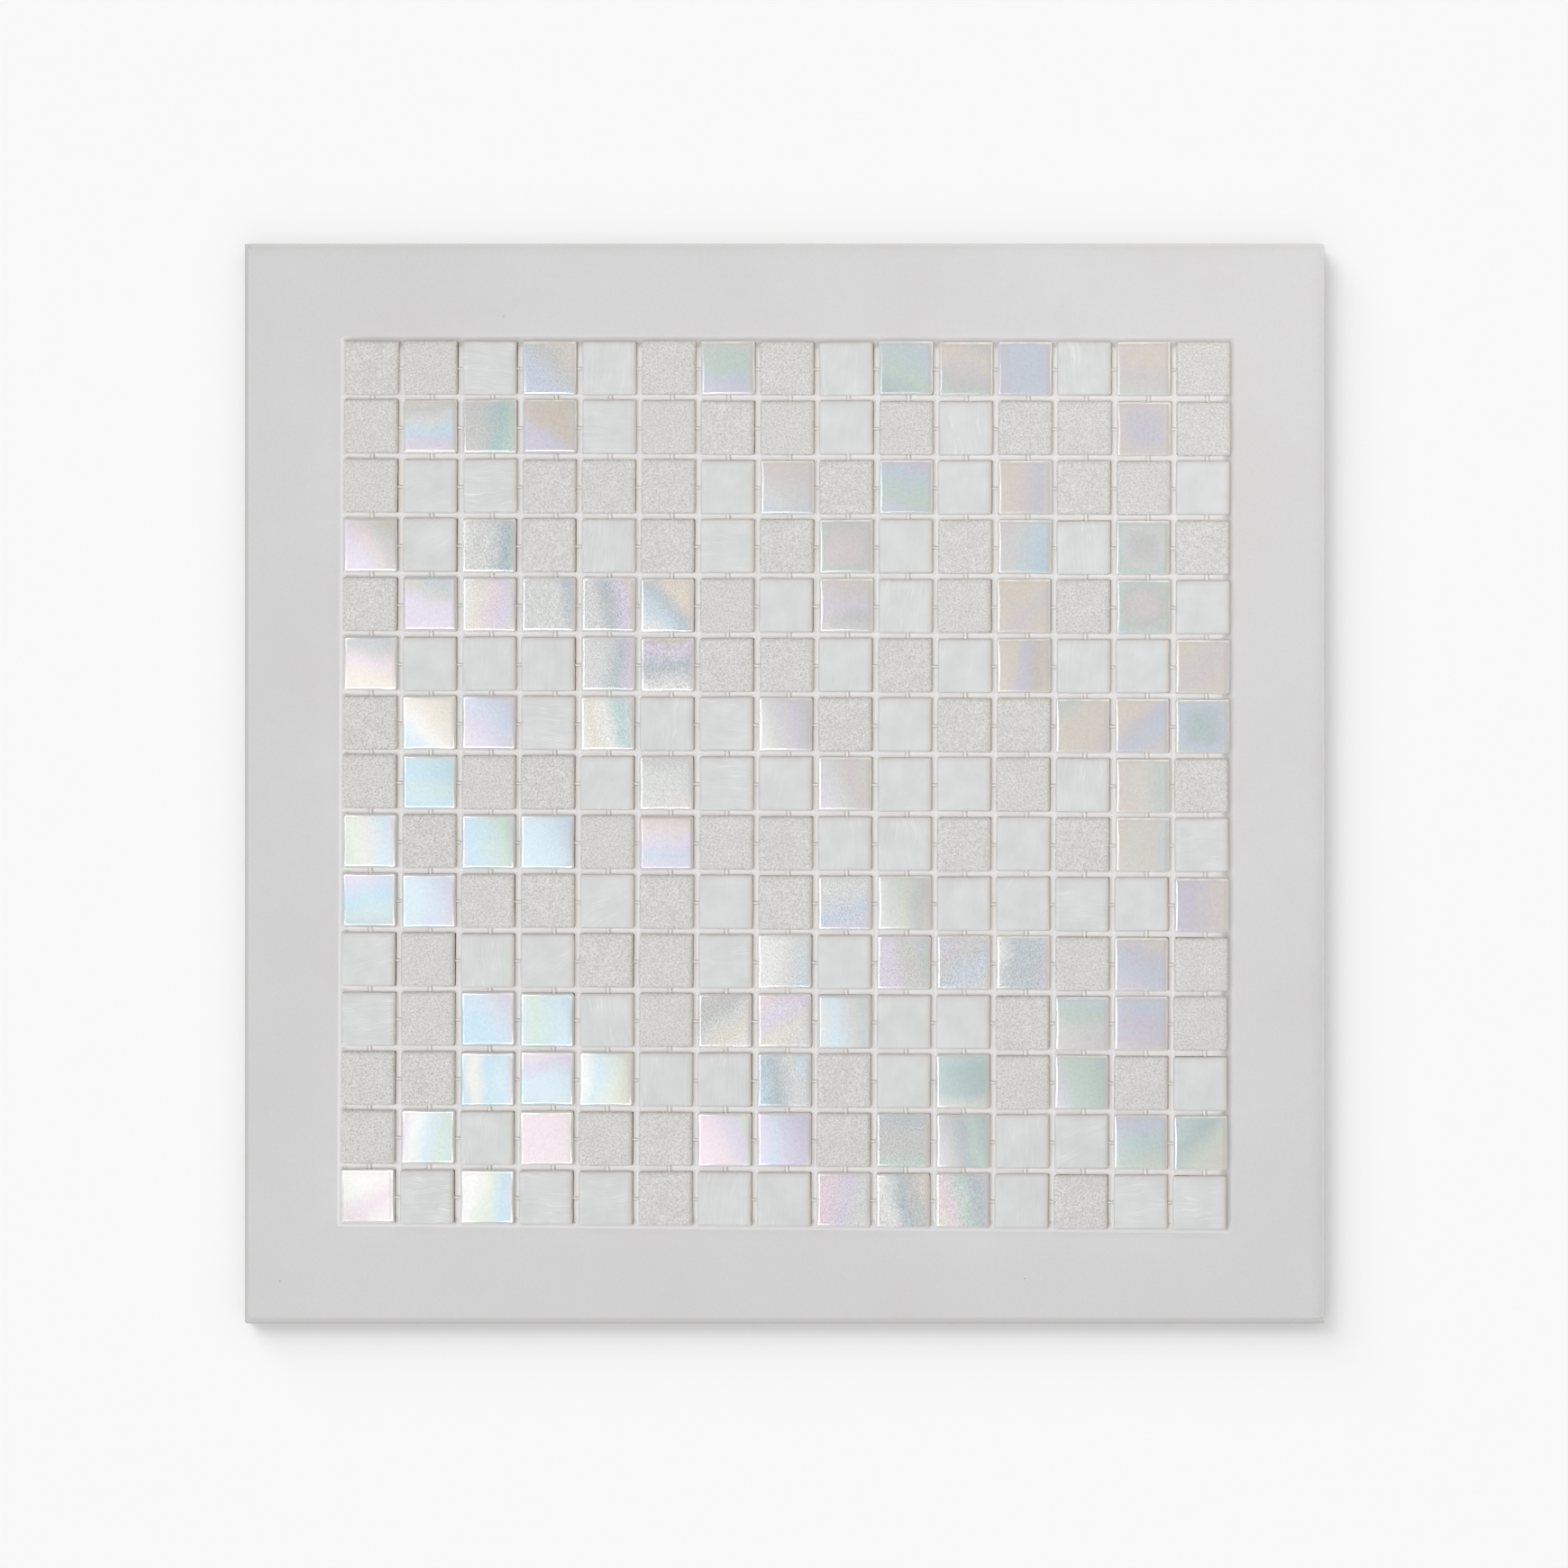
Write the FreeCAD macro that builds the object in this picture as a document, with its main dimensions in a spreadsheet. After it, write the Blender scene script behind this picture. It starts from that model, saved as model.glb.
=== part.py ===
import FreeCAD, Part
import Sketcher
import os

from FreeCAD import Placement, Rotation, Vector

# A sheet of square glass mosaic tiles, hung on a lattice of glue strands and bonded to a grey board.
# Millimetres. +X runs along the rows, +Y up the columns and +Z out of the tile faces.
# The origin is under the middle of the board, on the surface that the board lies on.

# Every size that can be set by itself
DRIVING_SIZES = {
    # The side of a tile is its largest outline, where the flanks meet the crown
    "tile_side": 20.0,
    "tile_thickness": 4.0,
    "tile_corner": 1.0,
    # The flanks lean in towards the back, so that the pressed tile leaves its mould
    "back_inset": 0.5,
    # The crown is the eased strip round the face, narrow on sand tiles and full on pearl ones
    "crown_depth": 0.5,
    "sand_crown_width": 0.6,
    "milk_crown_width": 0.8,
    "pearl_crown_width": 1.0,
    "joint_width": 2.0,
    # The strands of glue are flattened where the tiles sit on them
    "strand_width": 1.8,
    "strand_flat_width": 1.2,
    "strand_height": 0.8,
    # They stop this far inside the outer edge of the outer tiles
    "strand_end_inset": 4.0,
    # The board shows this much past the tiles on all four sides
    "border_width": 36.0,
    "board_thickness": 8.0,
    "board_corner": 0.8,
    # Its upper edge is bevelled at the left and the front, and only eased at the right and the back
    "bevel_depth": 3.0,
    "bevel_width": 1.8,
    "eased_width": 0.6,
}

# Which tile lies where, from the back row to the front one: S is sand, M is milk and P is pearl
LAYING_PLAN = (
    "SSMPMSPSMPPPMPS",
    "SPPPMSSSMSMSSPS",
    "SMMSSSMPSPMPSSM",
    "PMPSMSMSPMSPMPS",
    "SPPPPPSMPMSPSPM",
    "PMMMPPSSMSMPMMP",
    "SPPMPMMPSMSSPPP",
    "SPSSMPMMPMMSMPS",
    "PSPPSPSSMMSMSPM",
    "PPSSMSMSPPMMMMP",
    "MSMMSSMPMPPPSPS",
    "MSPPMSPPPMMSPPS",
    "SSPPPMMPSMPSPSM",
    "SPMPSSPPSPPMMPP",
    "PMPMMSMMPPPMSMM",
)
TILE_KINDS = {"S": "sand", "M": "milk", "P": "pearl"}
ROW_COUNT = len(LAYING_PLAN)
COLUMN_COUNT = len(LAYING_PLAN[0])

# Sizes that follow from the driving ones
PITCH = "(Sizes.tile_side + Sizes.joint_width)"
FIELD_LENGTH = f"({COLUMN_COUNT} * {PITCH} - Sizes.joint_width)"
FIELD_WIDTH = f"({ROW_COUNT} * {PITCH} - Sizes.joint_width)"
TILE_SEAT = "(Sizes.board_thickness + Sizes.strand_height)"

# A wedge tapers along its own Y, and a quarter turn about X stands it up
UPRIGHT = Placement(Vector(0, 0, 0), Rotation(Vector(1, 0, 0), 90))

doc = FreeCAD.newDocument("MosaicTileSheet")


def make_size_sheet():
    """Write the driving sizes into the spreadsheet, one alias to a row."""
    sheet = doc.addObject("Spreadsheet::Sheet", "Sizes")
    for row, (name, value) in enumerate(DRIVING_SIZES.items(), start=1):
        sheet.set(f"A{row}", name)
        sheet.set(f"B{row}", str(value))
        sheet.setAlias(f"B{row}", name)
    doc.recompute()


def bind(feature, expressions):
    """Tie properties of a feature to the spreadsheet."""
    for name, expression in expressions.items():
        feature.setExpression(name, expression)


def add_frustum(body, name, bottom, top, foot, head):
    """Add a block whose level outline goes over from foot, at the height bottom, to head, at the height top.

    An outline is how far the block reaches from the middle to the left, right, front and back."""
    frustum = body.newObject("PartDesign::AdditiveWedge", name)
    frustum.Placement = UPRIGHT
    bind(frustum, {
        "Ymin": bottom,
        "Xmin": f"-{foot[0]}",
        "Xmax": foot[1],
        "Zmax": foot[2],
        "Zmin": f"-{foot[3]}",
        "Ymax": top,
        "X2min": f"-{head[0]}",
        "X2max": head[1],
        "Z2max": head[2],
        "Z2min": f"-{head[3]}",
    })


def make_taper(name, foot, outline, face, shoulder, height):
    """A form that goes from foot to its largest outline at the shoulder, and in again to its face."""
    taper = doc.addObject("PartDesign::Body", f"{name}Taper")
    add_frustum(taper, f"{name}Lower", "0", shoulder, foot, outline)
    add_frustum(taper, f"{name}Upper", shoulder, height, outline, face)
    return taper


def make_blank(name, outline, height, corner):
    """An upright block of the largest outline, with its four corners cut."""
    left, right, front, back = outline
    blank = doc.addObject("PartDesign::Body", f"{name}Blank")
    block = blank.newObject("PartDesign::AdditiveBox", f"{name}Block")
    bind(block, {
        "Length": f"{left} + {right}",
        "Width": f"{front} + {back}",
        "Height": height,
        "Placement.Base.x": f"-{left}",
        "Placement.Base.y": f"-{front}",
    })
    doc.recompute()
    upright_edges = [
        f"Edge{number}"
        for number, edge in enumerate(block.Shape.Edges, start=1)
        if edge.BoundBox.ZLength > edge.Length / 2
    ]
    corners = blank.newObject("PartDesign::Chamfer", f"{name}Corners")
    corners.Base = (block, upright_edges)
    corners.setExpression("Size", corner)
    return blank


def make_eased_slab(name, label, foot, outline, face, shoulder, height, corner):
    """A slab with cut corners, tapered flanks and an eased strip round its face."""
    slab = doc.addObject("Part::Common", name)
    slab.Label = label
    slab.Base = make_taper(name, foot, outline, face, shoulder, height)
    slab.Tool = make_blank(name, outline, height, corner)
    return slab


def make_backing_board():
    """The flat board: its edge stands upright up to the shoulder and is bevelled or eased above it."""
    reach_x = f"({FIELD_LENGTH} / 2 + Sizes.border_width)"
    reach_y = f"({FIELD_WIDTH} / 2 + Sizes.border_width)"
    outline = (reach_x, reach_x, reach_y, reach_y)
    face = (
        f"({reach_x} - Sizes.bevel_width)",
        f"({reach_x} - Sizes.eased_width)",
        f"({reach_y} - Sizes.bevel_width)",
        f"({reach_y} - Sizes.eased_width)",
    )
    shoulder = "(Sizes.board_thickness - Sizes.bevel_depth)"
    return make_eased_slab(
        "Board", "backing_board", outline, outline, face, shoulder, "Sizes.board_thickness", "Sizes.board_corner"
    )


def origin_feature(body, role):
    """A plane or an axis of the body's own origin."""
    return [feature for feature in body.Origin.OriginFeatures if feature.Role == role][0]


def sketch_strand(body, name, plane_role, outer_place):
    """Sketch the section of the outermost strand, with its middle at outer_place."""
    sketch = body.newObject("Sketcher::SketchObject", name)
    sketch.AttachmentSupport = [(origin_feature(body, plane_role), "")]
    sketch.MapMode = "FlatFace"
    # Its four sides are the foot on the board, a flank, the flat under the tiles and the other flank
    corners = (Vector(1, 0, 0), Vector(4, 0, 0), Vector(3, 1, 0), Vector(2, 1, 0))
    foot, flat = 0, 2
    for side, corner in enumerate(corners):
        sketch.addGeometry(Part.LineSegment(corner, corners[(side + 1) % 4]), False)
    start, end = 1, 2
    origin = -1
    for side in range(4):
        sketch.addConstraint(Sketcher.Constraint("Coincident", side, end, (side + 1) % 4, start))
    sketch.addConstraint(Sketcher.Constraint("PointOnObject", foot, start, origin))
    sketch.addConstraint(Sketcher.Constraint("Horizontal", foot))
    sketch.addConstraint(Sketcher.Constraint("Horizontal", flat))
    distances = (
        ("place", "DistanceX", (origin, start, foot, start), f"{outer_place} - Sizes.strand_width / 2"),
        ("width", "DistanceX", (foot, start, foot, end), "Sizes.strand_width"),
        ("flat", "DistanceX", (flat, end, flat, start), "Sizes.strand_flat_width"),
        ("lean", "DistanceX", (foot, start, flat, end), "(Sizes.strand_width - Sizes.strand_flat_width) / 2"),
        ("rise", "DistanceY", (foot, start, flat, end), "Sizes.strand_height"),
    )
    for label, kind, points, expression in distances:
        number = sketch.addConstraint(Sketcher.Constraint(kind, *points, 1.0))
        sketch.renameConstraint(number, label)
        sketch.setExpression(f"Constraints.{label}", expression)
    return sketch


def make_strands(name, plane_role, axis_role, count, length):
    """The strands of one direction, one under the middle of each row or column of tiles."""
    span = f"({count - 1} * {PITCH})"
    body = doc.addObject("PartDesign::Body", f"{name}s")
    strand = body.newObject("PartDesign::Pad", name)
    strand.Profile = sketch_strand(body, f"{name}Section", plane_role, f"{span} / 2")
    strand.SideType = "Symmetric"
    strand.setExpression("Length", f"{length} - 2 * Sizes.strand_end_inset")
    doc.recompute()
    repeat = body.newObject("PartDesign::LinearPattern", f"{name}Repeat")
    repeat.Originals = [strand]
    repeat.Direction = (origin_feature(body, axis_role), [""])
    repeat.Reversed = True
    repeat.Occurrences = count
    repeat.setExpression("Length", span)
    body.Tip = repeat
    return body


def make_strand_lattice():
    """The glue strands that hold the tiles at their pitch, welded where they cross.

    The seams of the crossings stay in its faces, because merging them takes most of the rebuild."""
    lattice = doc.addObject("Part::Fuse", "StrandLattice")
    lattice.Label = "strand_lattice"
    lattice.Base = make_strands("RowStrand", "YZ_Plane", "Y_Axis", ROW_COUNT, FIELD_LENGTH)
    lattice.Tool = make_strands("ColumnStrand", "XZ_Plane", "X_Axis", COLUMN_COUNT, FIELD_WIDTH)
    lattice.Refine = False
    lattice.setExpression("Placement.Base.z", "Sizes.board_thickness")
    return lattice


def make_tile(kind):
    """One pressed tile: its flanks widen from the back and its crown eases into the face."""
    back = ["(Sizes.tile_side / 2 - Sizes.back_inset)"] * 4
    outline = ["Sizes.tile_side / 2"] * 4
    face = [f"(Sizes.tile_side / 2 - Sizes.{kind}_crown_width)"] * 4
    shoulder = "(Sizes.tile_thickness - Sizes.crown_depth)"
    return make_eased_slab(
        f"{kind.capitalize()}Tile", f"{kind}_tile", back, outline, face, shoulder,
        "Sizes.tile_thickness", "Sizes.tile_corner"
    )


def lay_tile(tile, row, column):
    """Set a copy of a tile on the strands that cross at its row and column."""
    copy = doc.addObject("App::Link", f"Tile_{row + 1}_{column + 1}")
    copy.LinkedObject = tile
    bind(copy, {
        "Placement.Base.x": f"({column} - {(COLUMN_COUNT - 1) / 2}) * {PITCH}",
        "Placement.Base.y": f"({(ROW_COUNT - 1) / 2} - {row}) * {PITCH}",
        "Placement.Base.z": TILE_SEAT,
    })
    return copy


def lay_rows(tiles):
    """Lay every row from the plan, and gather the tiles of one kind in a row into one group."""
    groups = []
    for row, marks in enumerate(LAYING_PLAN):
        for mark, kind in TILE_KINDS.items():
            group = doc.addObject("Part::Compound", f"Row{row + 1}{kind.capitalize()}")
            group.Label = f"row_{row + 1:02d}_{kind}_tiles"
            group.Links = [
                lay_tile(tiles[kind], row, column) for column, found in enumerate(marks) if found == mark
            ]
            groups.append(group)
    return groups


def check_shapes(nodes):
    """Stop if any feature failed or any sub-part isn't sound."""
    for feature in doc.Objects:
        if "Invalid" in feature.State or "Error" in feature.State:
            raise RuntimeError(f"{feature.Label} didn't build: {feature.State}")
    for node in nodes:
        if node.Shape.isNull() or not node.Shape.isValid():
            raise RuntimeError(f"{node.Label} has no valid shape")


make_size_sheet()
sub_parts = [make_backing_board(), make_strand_lattice()]
tile_masters = {kind: make_tile(kind) for kind in TILE_KINDS.values()}
doc.recompute()
sub_parts += lay_rows(tile_masters)
doc.recompute()
check_shapes(sub_parts)

os.makedirs("parts", exist_ok=True)
for sub_part in sub_parts:
    sub_part.Shape.exportStep(f"parts/{sub_part.Label}.step")
    box = sub_part.Shape.BoundBox
    print(f"{sub_part.Label}: {len(sub_part.Shape.Solids)} solids,"
          f" {box.XLength:.2f} x {box.YLength:.2f} x {box.ZLength:.2f} mm, from z {box.ZMin:.2f}")
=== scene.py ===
import math
import random

import bpy
import numpy as np
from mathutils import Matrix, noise


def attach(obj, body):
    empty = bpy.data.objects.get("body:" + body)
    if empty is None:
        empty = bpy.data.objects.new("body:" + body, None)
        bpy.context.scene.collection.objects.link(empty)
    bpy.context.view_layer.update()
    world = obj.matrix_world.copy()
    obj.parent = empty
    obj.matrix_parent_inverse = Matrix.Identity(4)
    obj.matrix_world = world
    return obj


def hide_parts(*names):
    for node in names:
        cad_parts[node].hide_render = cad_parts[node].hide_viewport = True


# A sheet of square glass mosaic tiles, bonded to a pale grey board and seen from straight above.
# Sizes are in millimetres until a mesh is made, because that is how the sheet is measured.
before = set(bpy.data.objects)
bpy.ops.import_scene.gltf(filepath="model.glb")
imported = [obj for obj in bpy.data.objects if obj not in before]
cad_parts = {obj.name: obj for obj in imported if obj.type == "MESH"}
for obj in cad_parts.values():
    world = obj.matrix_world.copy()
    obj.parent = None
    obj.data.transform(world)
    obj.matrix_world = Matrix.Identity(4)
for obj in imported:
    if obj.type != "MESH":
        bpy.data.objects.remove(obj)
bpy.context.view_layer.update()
MM = 0.001

# The camera hangs straight above the middle of the board, a little over a metre away.
# The photograph takes in a square of floor almost half as wide again as the board.
camera_height = 1160.0
face_height = 12.0
seen_width = 578.2
film_width = 36.0
camera_data = bpy.data.cameras.new("camera")
camera_data.sensor_width = film_width
camera_data.lens = film_width * (camera_height - face_height) / seen_width
camera_data.clip_start = 0.01
camera = bpy.data.objects.new("camera", camera_data)
camera.location = (0, 0, camera_height * MM)
bpy.context.scene.collection.objects.link(camera)
bpy.context.scene.camera = camera
bpy.context.scene.view_settings.view_transform = "Standard"

# The floor is a plain pale sheet in a white room, lit from the upper left and above by lamps of its own.
# The object lies under a wide soft panel at the lower left and two small ones behind it, and two low lamps
# rake its board and its tiles. The room's ceiling is darker where gloss mirrors it.
floor_half = 6.0
floor_drop = 0.0002
floor_white = 0.947
floor_glow = 0.2
room_light = 0.281
ceiling_shade = 0.62
ceiling_starts = 0.35
ceiling_full = 0.85
panel_height = 3.6
panel_reach = 0.70
panel_bearing = math.radians(210)
panel_long = 2.0
panel_short = 1.0
panel_radiance = 9.0
fill_place = (0.50, 0.36, 0.55)
fill_turn = math.radians(45)
fill_size = 0.28
fill_radiance = 4.9
back_place = (0.20, 0.75, 0.90)
back_long = 0.36
back_short = 0.05
back_radiance = 13.0
rake_distance = 6.0
rakes = {
    "tile rake": {"tilt": math.radians(50), "bearing": math.radians(220), "size": 1.93, "radiance": 10.8},
    "board rake": {"tilt": math.radians(28), "bearing": math.radians(214), "size": 1.6, "radiance": 13.0}}
floor_lamps = {
    "floor side lamp": {"tilt": math.radians(61), "bearing": math.radians(130),
                        "spread": math.radians(44), "strength": 2.1},
    "floor dome lamp": {"tilt": 0.0, "bearing": 0.0, "spread": math.radians(150), "strength": 1.22}}


def step(recipe, kind, inputs=None, **settings):
    """One step of a finish's recipe: a node with its settings, and numbers or links in its inputs."""
    made = recipe.nodes.new(kind)
    for name, value in settings.items():
        setattr(made, name, value)
    for name, value in (inputs or {}).items():
        if isinstance(value, bpy.types.NodeSocket):
            recipe.links.new(value, made.inputs[name])
        else:
            made.inputs[name].default_value = value
    return made


def combine(recipe, operation, first, second):
    """Two numbers or masks put together by one sum."""
    return step(recipe, "ShaderNodeMath", {0: first, 1: second}, operation=operation).outputs[0]


def ramp(recipe, value, start, end, low=0.0, high=1.0, clamp=True):
    """A number that runs from low to high as a value goes from start to end."""
    return step(recipe, "ShaderNodeMapRange", {"Value": value, "From Min": start, "From Max": end,
                                               "To Min": low, "To Max": high}, clamp=clamp).outputs[0]


def see_or_light(recipe, seen, lighting):
    """A strength that is one number where it is seen, straight or in gloss or glass, and another as light."""
    path = step(recipe, "ShaderNodeLightPath")
    seeing = path.outputs["Is Camera Ray"]
    for ray in ("Is Glossy Ray", "Is Transmission Ray"):
        seeing = combine(recipe, "MAXIMUM", seeing, path.outputs[ray])
    return ramp(recipe, seeing, 0.0, 1.0, lighting, seen)


floor_mesh = bpy.data.meshes.new("floor")
floor_mesh.from_pydata([(-floor_half, -floor_half, -floor_drop), (floor_half, -floor_half, -floor_drop),
                        (floor_half, floor_half, -floor_drop), (-floor_half, floor_half, -floor_drop)],
                       [], [(0, 1, 2, 3)])
floor = bpy.data.objects.new("floor", floor_mesh)
bpy.context.scene.collection.objects.link(floor)
floor_finish = bpy.data.materials.new("floor paper")
floor_finish.use_nodes = True
recipe = floor_finish.node_tree
recipe.nodes.clear()
paper = step(recipe, "ShaderNodeBsdfDiffuse", {"Color": (floor_white, floor_white, floor_white, 1)})
glow = step(recipe, "ShaderNodeEmission", {"Color": (floor_white, floor_white, floor_white, 1)})
share = see_or_light(recipe, floor_glow, 0.0)
both = step(recipe, "ShaderNodeMixShader", {0: share, 1: paper.outputs[0], 2: glow.outputs[0]})
step(recipe, "ShaderNodeOutputMaterial", {"Surface": both.outputs[0]})
floor_mesh.materials.append(floor_finish)

world = bpy.data.worlds.new("studio")
world.use_nodes = True
recipe = world.node_tree
recipe.nodes.clear()
heading = step(recipe, "ShaderNodeSeparateXYZ",
               {"Vector": step(recipe, "ShaderNodeTexCoord").outputs["Generated"]})
ceiling = ramp(recipe, heading.outputs["Z"], ceiling_starts, ceiling_full, floor_white, ceiling_shade)
straight = step(recipe, "ShaderNodeLightPath").outputs["Is Camera Ray"]
backdrop = ramp(recipe, straight, 0.0, 1.0, ceiling, floor_white)
room = step(recipe, "ShaderNodeBackground", {"Color": (1, 1, 1, 1),
                                             "Strength": see_or_light(recipe, backdrop, room_light)})
step(recipe, "ShaderNodeOutputWorld", {"Surface": room.outputs[0]})
bpy.context.scene.world = world

floor_alone = bpy.data.collections.new("the floor alone")
floor_alone.objects.link(floor)
all_but_floor = bpy.data.collections.new("all but the floor")
tiles_and_glue = bpy.data.collections.new("tiles and glue")
board_alone = bpy.data.collections.new("the board alone")


def leave_out(group, thing):
    """Keeps a thing out of the light of the lamps that a group of lit things belongs to."""
    group.objects.link(thing)
    group.collection_objects[-1].light_linking.link_state = "EXCLUDE"


leave_out(all_but_floor, floor)
leave_out(tiles_and_glue, floor)


def hang_panel(name, place, turn, long, short, radiance, lights):
    """A soft panel of plain white light, with the things that it lights."""
    light = bpy.data.lights.new(name, "AREA")
    light.shape = "RECTANGLE"
    light.size = long
    light.size_y = short
    light.energy = radiance * long * short * math.pi
    lamp = bpy.data.objects.new(name, light)
    lamp.location = place
    lamp.rotation_euler = turn
    bpy.context.scene.collection.objects.link(lamp)
    lamp.light_linking.receiver_collection = lights


panel_place = (panel_reach * math.cos(panel_bearing), panel_reach * math.sin(panel_bearing), panel_height)
hang_panel("soft panel", panel_place, (0, 0, panel_bearing + math.pi / 2), panel_long, panel_short,
           panel_radiance, all_but_floor)
hang_panel("fill panel", fill_place, (0, 0, fill_turn), fill_size, fill_size, fill_radiance, all_but_floor)
hang_panel("back panel", back_place, (0, 0, 0), back_long, back_short, back_radiance, all_but_floor)
for (name, rake), lights in zip(rakes.items(), (tiles_and_glue, board_alone)):
    out = rake_distance * math.sin(rake["tilt"])
    rake_place = (out * math.cos(rake["bearing"]), out * math.sin(rake["bearing"]),
                  rake_distance * math.cos(rake["tilt"]))
    hang_panel(name, rake_place, (0, rake["tilt"], rake["bearing"]), rake["size"], rake["size"],
               rake["radiance"], lights)
for name, given in floor_lamps.items():
    light = bpy.data.lights.new(name, "SUN")
    light.energy = given["strength"]
    light.angle = given["spread"]
    lamp = bpy.data.objects.new(name, light)
    lamp.rotation_euler = (0, given["tilt"], given["bearing"])
    bpy.context.scene.collection.objects.link(lamp)
    lamp.light_linking.receiver_collection = floor_alone

# The backing board is a square of dense fibreboard under matt pale grey paint.
# Its left and front edges are planed to a steep bevel, the others eased, and the paint rounds them all.
# All these edges carry a painted shade, with a darker painted shade line along the outermost edge.
board_half = 200.0
board_thickness = 8.0
board_corner = 0.8
board_foot = 0.35
left_bevel = {"width": 1.7, "depth": 3.0, "swell": 0.2, "run": 3.0}
front_bevel = {"width": 2.4, "depth": 2.4, "swell": 0.35, "run": 3.0}
eased = {"width": 0.5, "depth": 0.8, "swell": 0.95, "run": 5.0}
side_steps = 24
corner_steps = 5
edge_profile = [(0.0, 1.15), (0.03, 1.0), (0.12, 0.87), (0.5, 0.47), (0.85, 0.12), (0.97, 0.03)]
swell_steps = (0.0, 0.08, 0.2, 0.35, 0.55, 0.78, 1.0)
bevel_shade_last = 0.35
# How much of the painted shade line each outer ring of the board carries.
edge_shade_rings = [1.0, 1.0, 1.0, 0.9, 0.3]
paint_light = (0.646, 0.639, 0.641)
paint_dark = (0.606, 0.597, 0.596)
paint_roughness = 0.75
paint_gloss_play = 0.08
paint_cloud_scale = 16
paint_grain_scale = 1100
paint_grain_share = 0.35
paint_relief = 0.05
# Colour of the painted shade on the board's bevels and eased edges.
bevel_painted_shade = (0.60, 0.59, 0.59)
# Colour of the painted shade line along the board's outermost edge.
edge_painted_shade = (0.42, 0.405, 0.39)
pinholes = [(-103.7, 173.0), (-186.6, -184.0), (89.1, -183.0)]
pinhole_size = 0.32
pinhole_shade = (0.30, 0.27, 0.24)


def outline_walk(half, radius):
    """Points round a rounded square, each with the direction that it faces."""
    walk = []
    reach = half - radius
    for quarter in range(4):
        turn = quarter * math.pi / 2
        for count in range(corner_steps + 1):
            facing = turn + math.pi / 2 * count / corner_steps
            centre = (reach * math.copysign(1, math.cos(turn + math.pi / 4)),
                      reach * math.copysign(1, math.sin(turn + math.pi / 4)))
            walk.append((centre[0] + radius * math.cos(facing),
                         centre[1] + radius * math.sin(facing), facing))
        end = turn + math.pi / 2
        for count in range(1, side_steps):
            along = reach * (1 - 2 * count / side_steps)
            walk.append((half * math.cos(end) - along * math.sin(end + math.pi),
                         half * math.sin(end) + along * math.cos(end + math.pi), end))
    return walk


def board_mesh():
    """Rings from the foot of the board up its sides, over the bevels and in across the swell of the paint."""
    walk = outline_walk(board_half, board_corner)
    rings = []
    rings.append([(x * (1 - board_foot / board_half), y * (1 - board_foot / board_half), 0.0)
                  for x, y, facing in walk])
    rings.append([(x, y, board_foot) for x, y, facing in walk])

    def cut(x, y, facing, inset, drop, swell):
        """Where a point of the outline goes, a share inset of its bevel in and a share drop of it down."""
        side = left_bevel if x < 0 else eased
        end = front_bevel if y < 0 else eased
        sideways = math.cos(facing) ** 2
        depth = sideways * side["depth"] + (1 - sideways) * end["depth"]
        sag = (sideways * side["swell"] + (1 - sideways) * end["swell"]) * (1 - swell) ** 2
        in_x = inset * side["width"] + swell * side["run"]
        in_y = inset * end["width"] + swell * end["run"]
        return (x * (1 - in_x / board_half), y * (1 - in_y / board_half),
                board_thickness - drop * (depth - sag) - sag)

    for inset, drop in edge_profile:
        rings.append([cut(x, y, facing, inset, drop, 0.0) for x, y, facing in walk])
    for swell in swell_steps:
        rings.append([cut(x, y, facing, 1.0, 0.0, swell) for x, y, facing in walk])
    count = len(walk)
    bevel_shade_rings = [1.0] * (2 + len(edge_profile)) + [bevel_shade_last] + [0.0] * (len(swell_steps) - 1)
    edge_shade = edge_shade_rings + [0.0] * (len(rings) - len(edge_shade_rings))
    bevel_shade_values = [share for share in bevel_shade_rings for spot in range(count)] + [1.0, 0.0]
    edge_shade_values = [share for share in edge_shade for spot in range(count)] + [1.0, 0.0]
    points = [point for ring in rings for point in ring]
    faces = []
    for ring in range(len(rings) - 1):
        for spot in range(count):
            after = (spot + 1) % count
            faces.append((ring * count + spot, ring * count + after,
                          (ring + 1) * count + after, (ring + 1) * count + spot))
    under, over = len(points), len(points) + 1
    points += [(0.0, 0.0, 0.0), (0.0, 0.0, board_thickness)]
    last = (len(rings) - 1) * count
    for spot in range(count):
        after = (spot + 1) % count
        faces.append((under, after, spot))
        faces.append((over, last + spot, last + after))
    return points, faces, {"painted bevel shade": bevel_shade_values, "edge_shade": edge_shade_values}


def make_piece(name, points, faces, finish, stamps=None):
    """A smooth mesh object from points in millimetres, with numbers stamped on them for the finish."""
    mesh = bpy.data.meshes.new(name)
    mesh.from_pydata((np.asarray(points, float) * MM).tolist(), [], faces)
    mesh.polygons.foreach_set("use_smooth", [True] * len(mesh.polygons))
    mesh.materials.append(finish)
    for label, values in (stamps or {}).items():
        values = np.asarray(values, np.float32)
        flat = values.ndim == 1
        stamp = mesh.attributes.new(label, "FLOAT" if flat else "FLOAT_VECTOR", "POINT")
        stamp.data.foreach_set("value" if flat else "vector", values.ravel())
    piece = bpy.data.objects.new(name, mesh)
    bpy.context.scene.collection.objects.link(piece)
    return piece


def new_effect(name, inputs, outputs):
    """An effect that several finishes share, with its inputs and outputs named."""
    effect = bpy.data.node_groups.new(name, "ShaderNodeTree")
    for label, kind, value in inputs:
        effect.interface.new_socket(label, in_out="INPUT", socket_type=kind).default_value = value
    for label, kind in outputs:
        effect.interface.new_socket(label, in_out="OUTPUT", socket_type=kind)
    return effect, step(effect, "NodeGroupInput"), step(effect, "NodeGroupOutput")


def soft_noise(recipe, place, scale, detail, roughness=0.5):
    """Soft random clouds of one size over a piece, as numbers from 0 to 1 and as colours."""
    return step(recipe, "ShaderNodeTexNoise", {"Vector": place, "Scale": scale, "Detail": detail,
                                               "Roughness": roughness}).outputs


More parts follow.
